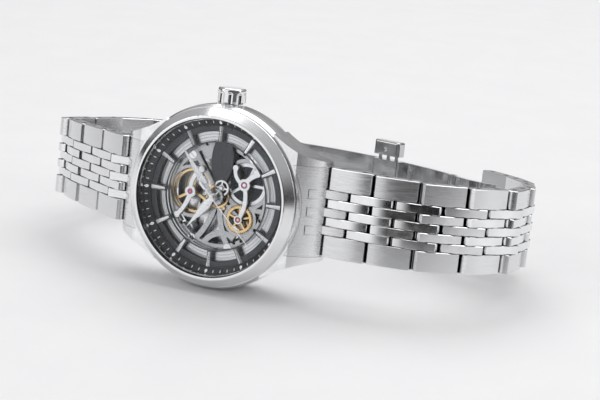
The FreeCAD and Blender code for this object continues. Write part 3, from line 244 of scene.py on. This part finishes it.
def turned_silver(name):
    """Silver-grey ring turned on a lathe: fine circles about the hands' axis."""
    s = Shader(name)
    circles = s.math("SINE", s.math("MULTIPLY", s.radius(), 9.6))
    fine = s.noise((9, 9, 9), 4.0)
    bands = s.blend(s.span(circles, 0, 1, 0.72, 0.95), grey(0.76), grey(0.34))
    s.set(Base_Color=s.blend(s.span(fine, 0.0, 0.3), bands, grey(0.62)), Metallic=1.0)
    s.set(Roughness=s.span(fine, 0.24, 0.34))
    return s.bump(circles, 0.3, 0.02).material


def bright_baton(name):
    """Silvered markers and hands: bright, softly polished, with a fine even grain."""
    s = Shader(name)
    grain = s.noise((6, 6, 6), 3.0)
    s.set(Base_Color=s.blend(s.span(grain, 0, 1), (0.93, 0.93, 0.94, 1), (1.0, 1.0, 1.0, 1)))
    s.set(Metallic=0.75, Roughness=s.span(grain, 0.20, 0.30))
    return s.bump(grain, 0.05, 0.004).material


def gilt(name):
    """Gilt brass of the wheels, fine and soft."""
    s = Shader(name)
    grain = s.noise((5, 5, 5), 4.0)
    tint = s.blend(s.span(grain, 0, 1), (0.78, 0.53, 0.24, 1), (0.94, 0.70, 0.38, 1))
    s.set(Base_Color=tint, Metallic=1.0, Roughness=s.span(grain, 0.16, 0.30))
    return s.bump(grain, 0.12, 0.006).material


def dark_spring(name):
    """Blue-black spring steel."""
    s = Shader(name)
    grain = s.noise((6, 6, 6), 3.0)
    s.set(Base_Color=s.blend(s.span(grain, 0, 1), (0.05, 0.055, 0.07, 1), (0.12, 0.125, 0.15, 1)))
    s.set(Metallic=1.0, Roughness=s.span(grain, 0.2, 0.35))
    return s.bump(grain, 0.1, 0.005).material


def rubber(name):
    """Black gasket rubber."""
    s = Shader(name)
    grain = s.noise((8, 8, 8), 4.0)
    s.set(Base_Color=s.blend(s.span(grain, 0, 1), (0.012, 0.012, 0.013, 1), (0.03, 0.03, 0.032, 1)))
    s.set(Roughness=s.span(grain, 0.5, 0.75))
    return s.bump(grain, 0.3, 0.01).material


def ruby(name):
    """Synthetic ruby: clear pink, a little cloudy."""
    s = Shader(name)
    cloud = s.noise((2, 2, 2), 2.0)
    s.set(Base_Color=s.blend(s.span(cloud, 0, 1), (0.72, 0.06, 0.25, 1), (0.95, 0.22, 0.45, 1)))
    s.set(Roughness=s.span(cloud, 0.03, 0.1), Transmission_Weight=0.35, IOR=1.76, Coat_Weight=0.5)
    return s.material


def crystal(name):
    """Flat clear crystal: mostly see-through, with a weak mirror that grows at a glancing angle."""
    s = Shader(name)
    dust = s.noise((0.6, 0.6, 0.6), 2.0)
    s.set(Base_Color=(1, 1, 1, 1), Metallic=1.0, Roughness=s.span(dust, 0.0, 0.02))
    clear = s.node("ShaderNodeBsdfTransparent")
    clear.inputs[0].default_value = (0.985, 0.99, 0.995, 1)
    edge = s.node("ShaderNodeFresnel")
    edge.inputs[0].default_value = 1.35
    mixer = s.node("ShaderNodeMixShader")
    s.put(mixer.inputs[0], s.math("MULTIPLY", edge.outputs[0], 0.5))
    s.tree.links.new(clear.outputs[0], mixer.inputs[1])
    s.tree.links.new(s.body.outputs[0], mixer.inputs[2])
    s.tree.links.new(mixer.outputs[0], s.out.inputs["Surface"])
    return s.material


def white_print_painted_glow(name):
    """White printing with a painted glow: a faint emission of its own that brightens it."""
    s = Shader(name)
    grain = s.noise((10, 10, 10), 3.0)
    s.set(Base_Color=s.blend(s.span(grain, 0, 1), (0.90, 0.90, 0.90, 1), (1.0, 1.0, 1.0, 1)))
    # Painted glow: a faint emission brightens the print.
    s.set(Roughness=s.span(grain, 0.4, 0.6), Emission_Color=(1, 1, 1, 1), Emission_Strength=0.35)
    return s.bump(grain, 0.2, 0.004).material


# ---------------------------------------------------------------- materials on the CAD nodes

SLOT_MATERIAL = {
    "satin_steel": satin("satin_steel", (0.35, 0.35, 9.0), tone=0.84),
    "polished_steel": polished("polished_steel"),
    "bracelet_steel": bracelet("bracelet_steel"),
    "sapphire": crystal("sapphire"),
    "gasket": rubber("gasket"),
    "dark_dial": anthracite("dark_dial"),
    "silver_plate": plate("silver_plate"),
    "gilt_brass": gilt("gilt_brass"),
    "dark_spring": dark_spring("dark_spring"),
    "ruby": ruby("ruby"),
}
HAND_STEEL = bright_baton("hand_steel")
HOLDER_SILVER = turned_silver("holder_silver")
BASE_SILVER = plate("base_silver", tone=0.50, recess_shade=0.05)
BEZEL_STEEL = polished("bezel_steel", tone=0.86, rough=0.15)
CLASP_STEEL = polished("clasp_steel", tone=0.60)
CASE_STEEL = satin("case_steel", (0.35, 7.0, 0.35), tone=0.85, rough=(0.16, 0.28))
NODE_MATERIAL = {
    "case_middle": CASE_STEEL,
    "case_back": CASE_STEEL,
    "bezel": BEZEL_STEEL,
    "movement_holder": HOLDER_SILVER,
    "main_plate": BASE_SILVER,
    "hour_markers": HAND_STEEL,
    "hour_hand": HAND_STEEL,
    "minute_hand": HAND_STEEL,
    "seconds_hand": HAND_STEEL,
    "clasp_arm_12": CLASP_STEEL,
    "clasp_arm_6": CLASP_STEEL,
    "clasp_blade": CLASP_STEEL,
    "clasp_pusher_upper": CLASP_STEEL,
    "clasp_pusher_lower": CLASP_STEEL,
}
for name, obj in NODES.items():
    obj.data.materials.clear()
    obj.data.materials.append(NODE_MATERIAL.get(name, SLOT_MATERIAL[SLOT_OF[name]]))


# ---------------------------------------------------------------- printing on the flange

FLANGE_LOW, FLANGE_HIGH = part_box("minute_flange")
SLOPE_WIDTH, SLOPE_DEPTH = 1.35 * MM, 1.1 * MM    # of the sloping face, inwards and backwards
PRINT_THICKNESS = 0.015 * MM
MINUTE_TICK = (16.45 * MM, 16.95 * MM, 0.07 * MM)    # inner radius, outer radius, half width
HOUR_TICK = (17.0 * MM, 17.15 * MM, 0.11 * MM)
DOT_RADIUS, DOT_PLACE, DOT_CORNERS = 0.33 * MM, 16.65 * MM, 16


def on_flange(radius, angle):
    """A point on the flange's sloping face at a radius and an angle from 3 o'clock."""
    share = (FLANGE_HIGH.z - radius) / SLOPE_WIDTH
    depth = FLANGE_LOW.y + share * SLOPE_DEPTH
    return Vector((radius * math.sin(angle), depth, radius * math.cos(angle)))


def prism(mesh, corners):
    """A thin printed mark: its outline and its front, a little proud of the flange."""
    lift = Vector((0, -PRINT_THICKNESS, 0))
    back = [mesh.verts.new(c) for c in corners]
    front = [mesh.verts.new(c + lift) for c in corners]
    mesh.faces.new(front)
    mesh.faces.new(list(reversed(back)))
    for i in range(len(corners)):
        j = (i + 1) % len(corners)
        mesh.faces.new((back[i], back[j], front[j], front[i]))


def tick(mesh, angle, inner, outer, half):
    """A straight mark that points at the hands' axis."""
    ends = ((outer, -1), (outer, 1), (inner, 1), (inner, -1))
    prism(mesh, [on_flange(radius, angle + side * half / radius) for radius, side in ends])


def dot(mesh, angle):
    """A round mark."""
    corners = []
    for i in range(DOT_CORNERS):
        turn = 2 * math.pi * i / DOT_CORNERS
        radius = DOT_PLACE + DOT_RADIUS * math.cos(turn)
        corners.append(on_flange(radius, angle + DOT_RADIUS * math.sin(turn) / DOT_PLACE))
    prism(mesh, corners)


def minute_marks():
    """Sixty ticks, and a dot at each hour."""
    mesh = bmesh.new()
    for minute in range(60):
        angle = math.radians(6 * minute)
        on_hour = minute % 5 == 0
        tick(mesh, angle, *(HOUR_TICK if on_hour else MINUTE_TICK))
        if on_hour:
            dot(mesh, angle)
    bmesh.ops.recalc_face_normals(mesh, faces=mesh.faces)
    data = bpy.data.meshes.new("minute_printing")
    mesh.to_mesh(data)
    obj = bpy.data.objects.new("minute_printing", data)
    bpy.context.scene.collection.objects.link(obj)
    data.materials.append(white_print_painted_glow("white_print_painted_glow"))
    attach(obj, "case")


minute_marks()


# ---------------------------------------------------------------- stage, light and camera

FLOOR_RADIUS = 2.3
FLOOR_SETBACK = 1.9    # the floor's middle lies behind the watch, so that it ends not far in front
FLOOR_GAP = 0.02 * MM


def resting_plane():
    """The floor under a watch that stands on its flank and leans back until its clasp touches."""
    points = []
    for obj in NODES.values():
        co = np.empty(len(obj.data.vertices) * 3)
        obj.data.vertices.foreach_get("co", co)
        points.append(co.reshape(-1, 3))
    points = np.concatenate(points)
    low = points[points[:, 2].argmin()]
    behind = points[points[:, 1] > 5 * MM]
    slope = ((behind[:, 2] - low[2]) / (behind[:, 1] - low[1])).min()
    return Vector(low), math.atan(slope)


def floor():
    """A pale round floor of plain paper."""
    low, lean = resting_plane()
    data = bpy.data.meshes.new("floor")
    mesh = bmesh.new()
    bmesh.ops.create_circle(mesh, cap_ends=True, segments=96, radius=FLOOR_RADIUS)
    mesh.to_mesh(data)
    obj = bpy.data.objects.new("floor", data)
    bpy.context.scene.collection.objects.link(obj)
    base = Matrix.Translation(low - Vector((0, 0, FLOOR_GAP))) @ Matrix.Rotation(lean, 4, "X")
    obj.matrix_world = base @ Matrix.Translation((0, FLOOR_SETBACK, 0))
    s = Shader("floor_paper")
    grain = s.noise((0.05, 0.05, 0.05), 4.0)
    tint = s.blend(s.span(grain, 0, 1), (0.885, 0.885, 0.895, 1), (0.91, 0.91, 0.915, 1))
    s.set(Base_Color=tint, Roughness=0.5)
    data.materials.append(s.material)


# The studio as the metal sees it. Each stop is a height, from 0 straight down to 1 straight up,
# and a tone. The panel and the flag each have a direction, the cosines of the angles from it at
# which they begin and are full, and a tone.
SKY_STOPS = ((0.0, 0.35), (0.44, 0.22), (0.50, 0.03), (0.57, 0.08), (0.72, 0.50), (1.0, 0.60))
SKY_STRENGTH = 0.8
BRIGHT_PANEL = ((-0.50, -0.86, -0.08), 0.72, 0.88, 1.25)
DARK_FLAG = ((0.15, -0.97, -0.18), 0.91, 0.97, 0.01)
BACKDROP = (0.90, 0.90, 0.905, 1)


def sky(tree, direction):
    """A tone for each height, dark at the horizon."""
    split = tree.nodes.new("ShaderNodeSeparateXYZ")
    tree.links.new(direction, split.inputs[0])
    height = tree.nodes.new("ShaderNodeMapRange")
    height.inputs["From Min"].default_value = -1.0
    height.inputs["From Max"].default_value = 1.0
    tree.links.new(split.outputs[2], height.inputs["Value"])
    ramp = tree.nodes.new("ShaderNodeValToRGB")
    while len(ramp.color_ramp.elements) < len(SKY_STOPS):
        ramp.color_ramp.elements.new(0.5)
    for element, (place, tone) in zip(ramp.color_ramp.elements, SKY_STOPS):
        element.position = place
        element.color = (tone, tone, tone * 1.01, 1)
    tree.links.new(height.outputs[0], ramp.inputs[0])
    return ramp.outputs[0]


def patch(tree, direction, under, centre, start, stop, tone):
    """A soft round patch of one tone laid over the sky in a given direction."""
    facing = tree.nodes.new("ShaderNodeVectorMath")
    facing.operation = "DOT_PRODUCT"
    facing.inputs[1].default_value = Vector(centre).normalized()
    tree.links.new(direction, facing.inputs[0])
    cover = tree.nodes.new("ShaderNodeMapRange")
    cover.interpolation_type = "SMOOTHSTEP"
    cover.inputs["From Min"].default_value = start
    cover.inputs["From Max"].default_value = stop
    tree.links.new(facing.outputs["Value"], cover.inputs["Value"])
    laid = tree.nodes.new("ShaderNodeMix")
    laid.data_type = "RGBA"
    laid.inputs[7].default_value = (tone, tone, tone * 1.01, 1)
    tree.links.new(cover.outputs[0], laid.inputs[0])
    tree.links.new(under, laid.inputs[6])
    return laid.outputs[2]


def world():
    """White to the camera; to the metal, a studio with a bright panel and a dark flag."""
    studio = bpy.data.worlds.new("studio")
    bpy.context.scene.world = studio
    studio.use_nodes = True
    tree = studio.node_tree
    tree.nodes.clear()
    coords = tree.nodes.new("ShaderNodeTexCoord")
    direction = coords.outputs["Generated"]
    tone = sky(tree, direction)
    for shape in (BRIGHT_PANEL, DARK_FLAG):
        tone = patch(tree, direction, tone, *shape)
    around = tree.nodes.new("ShaderNodeBackground")
    around.inputs[1].default_value = SKY_STRENGTH
    tree.links.new(tone, around.inputs[0])
    seen = tree.nodes.new("ShaderNodeBackground")
    seen.inputs[0].default_value = BACKDROP
    path = tree.nodes.new("ShaderNodeLightPath")
    mixer = tree.nodes.new("ShaderNodeMixShader")
    tree.links.new(path.outputs["Is Camera Ray"], mixer.inputs[0])
    tree.links.new(around.outputs[0], mixer.inputs[1])
    tree.links.new(seen.outputs[0], mixer.inputs[2])
    out = tree.nodes.new("ShaderNodeOutputWorld")
    tree.links.new(mixer.outputs[0], out.inputs[0])


def aim(obj, place, target, roll=0.0):
    """Put a light or the camera somewhere and point it at a target."""
    place, target = Vector(place), Vector(target)
    back = (place - target).normalized()
    right = Vector((0, 0, 1)).cross(back).normalized()
    up = back.cross(right)
    turn = Matrix.Rotation(roll, 3, back)
    right, up = turn @ right, turn @ up
    rows = Matrix((right, up, back)).transposed().to_4x4()
    obj.matrix_world = Matrix.Translation(place) @ rows


def softbox(name, place, target, width, height, power):
    """A rectangular lamp, in metres and watts."""
    light = bpy.data.lights.new(name, "AREA")
    light.shape = "RECTANGLE"
    light.size, light.size_y = width, height
    light.energy = power
    obj = bpy.data.objects.new(name, light)
    bpy.context.scene.collection.objects.link(obj)
    aim(obj, place, target)


CAMERA_PLACE = (0.1267, -0.28857, 0.04926)
CAMERA_TARGET = (0.0179, -0.0022, 0.0015)
CAMERA_ROLL = math.radians(6.31)
CAMERA_LENS = 84.0
CAMERA_SENSOR = 36.0


def camera():
    """Low in front and to the right, with the horizon a little turned."""
    data = bpy.data.cameras.new("camera")
    data.lens = CAMERA_LENS
    data.sensor_width = CAMERA_SENSOR
    data.clip_start = 0.01
    obj = bpy.data.objects.new("camera", data)
    bpy.context.scene.collection.objects.link(obj)
    aim(obj, CAMERA_PLACE, CAMERA_TARGET, CAMERA_ROLL)
    bpy.context.scene.camera = obj


bpy.context.scene.view_settings.view_transform = "Standard"
floor()
world()
softbox("top", (0.0, 0.30, 1.20), (0.0, 0.05, 0.0), 1.50, 1.10, 11.0)
softbox("left", (-0.55, -0.35, 0.30), (0.0, 0.0, 0.0), 0.20, 0.55, 0.5)
softbox("right", (0.60, 0.00, 0.30), (0.03, 0.0, 0.0), 0.20, 0.50, 0.5)
camera()
